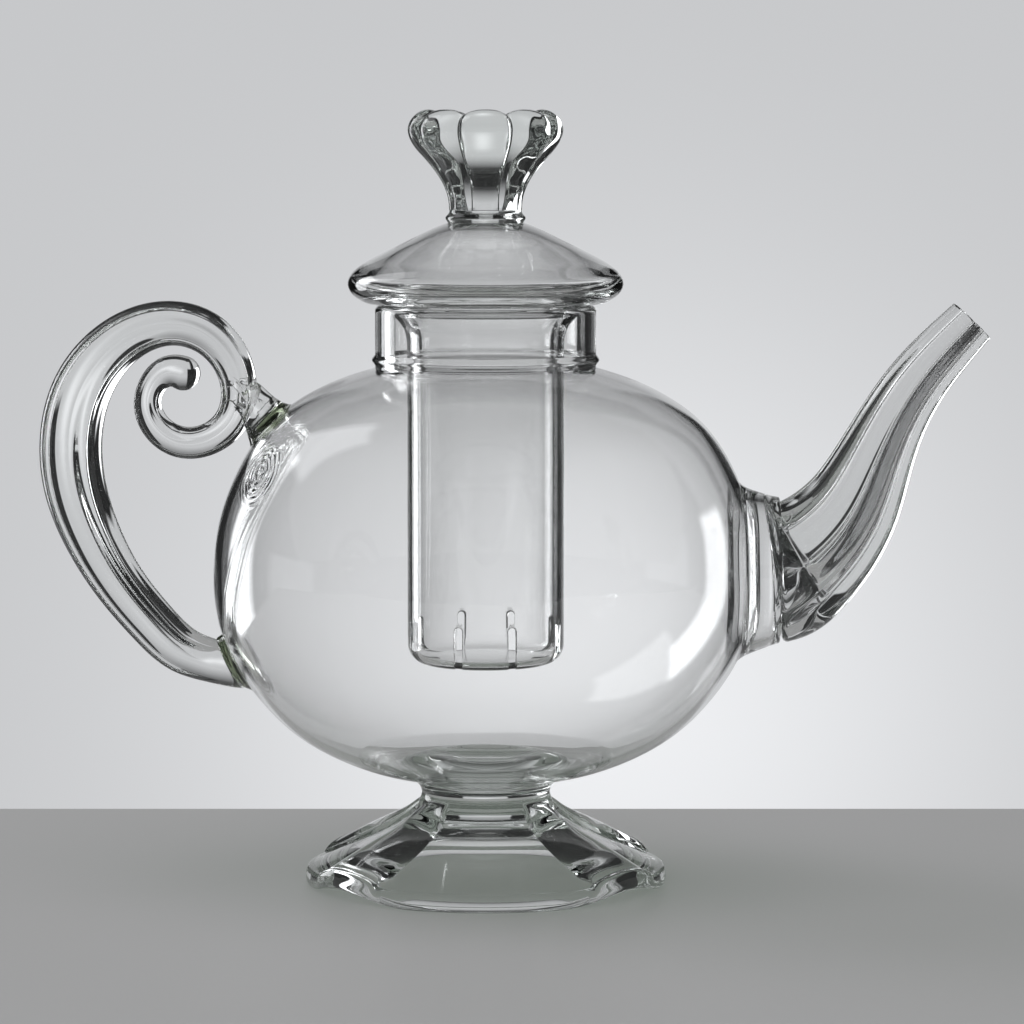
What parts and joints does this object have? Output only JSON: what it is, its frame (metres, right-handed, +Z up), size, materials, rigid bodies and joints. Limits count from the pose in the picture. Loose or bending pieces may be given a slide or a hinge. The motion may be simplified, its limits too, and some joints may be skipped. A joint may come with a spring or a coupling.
{
  "type": "glass teapot",
  "caption": "Footed blown-glass teapot with a fluted spout, scrolled fluted handle, lift-out slotted infuser tube and a lift-off domed lid with a flower-shaped knob.",
  "frame": {"origin": "centre of the foot's flat rest ring, on the pot's axis, in the plane of the table", "axes": "+Z up along the pot's axis, +X towards the spout, -X towards the handle, +Y away from a viewer who has the spout on the right"},
  "size_m": [0.2664, 0.153, 0.2178],
  "materials": {
    "clear_glass": "clear blown borosilicate, polished by the flame",
    "fluted_glass": "clear solid or thick fluted glass with rounded lobes",
    "pressed_glass": "clear thick pressed glass, faintly grey-green at the edges",
    "weld_glass": "transparent grey-green disc of weld glass"
  },
  "bodies": {
    "vessel": {"bowl": "clear_glass", "bowl_base_pad": "clear_glass", "neck_collar": "clear_glass", "collar_bead": "clear_glass", "stem": "pressed_glass", "foot": "pressed_glass", "spout_root": "clear_glass", "spout": "fluted_glass", "handle_rod": "fluted_glass", "handle_scroll_tip": "fluted_glass", "handle_upper_stub": "clear_glass", "handle_upper_weld": "weld_glass", "handle_lower_stub": "clear_glass", "handle_lower_weld": "weld_glass"},
    "infuser": {"infuser_tube": "clear_glass", "infuser_flange": "clear_glass"},
    "lid": {"lid_dome": "clear_glass", "lid_rim": "clear_glass", "lid_underside": "clear_glass", "lid_gallery": "clear_glass", "lid_knob": "fluted_glass", "lid_knob_weld": "clear_glass"}
  },
  "joints": [
    {"name": "infuser_lift", "type": "slide", "parent": "vessel", "child": "infuser", "axis": [0, 0, 1], "range_m": [0, 0.11]},
    {"name": "lid_lift", "type": "slide", "parent": "infuser", "child": "lid", "axis": [0, 0, 1], "range_m": [0, 0.03]}
  ]
}
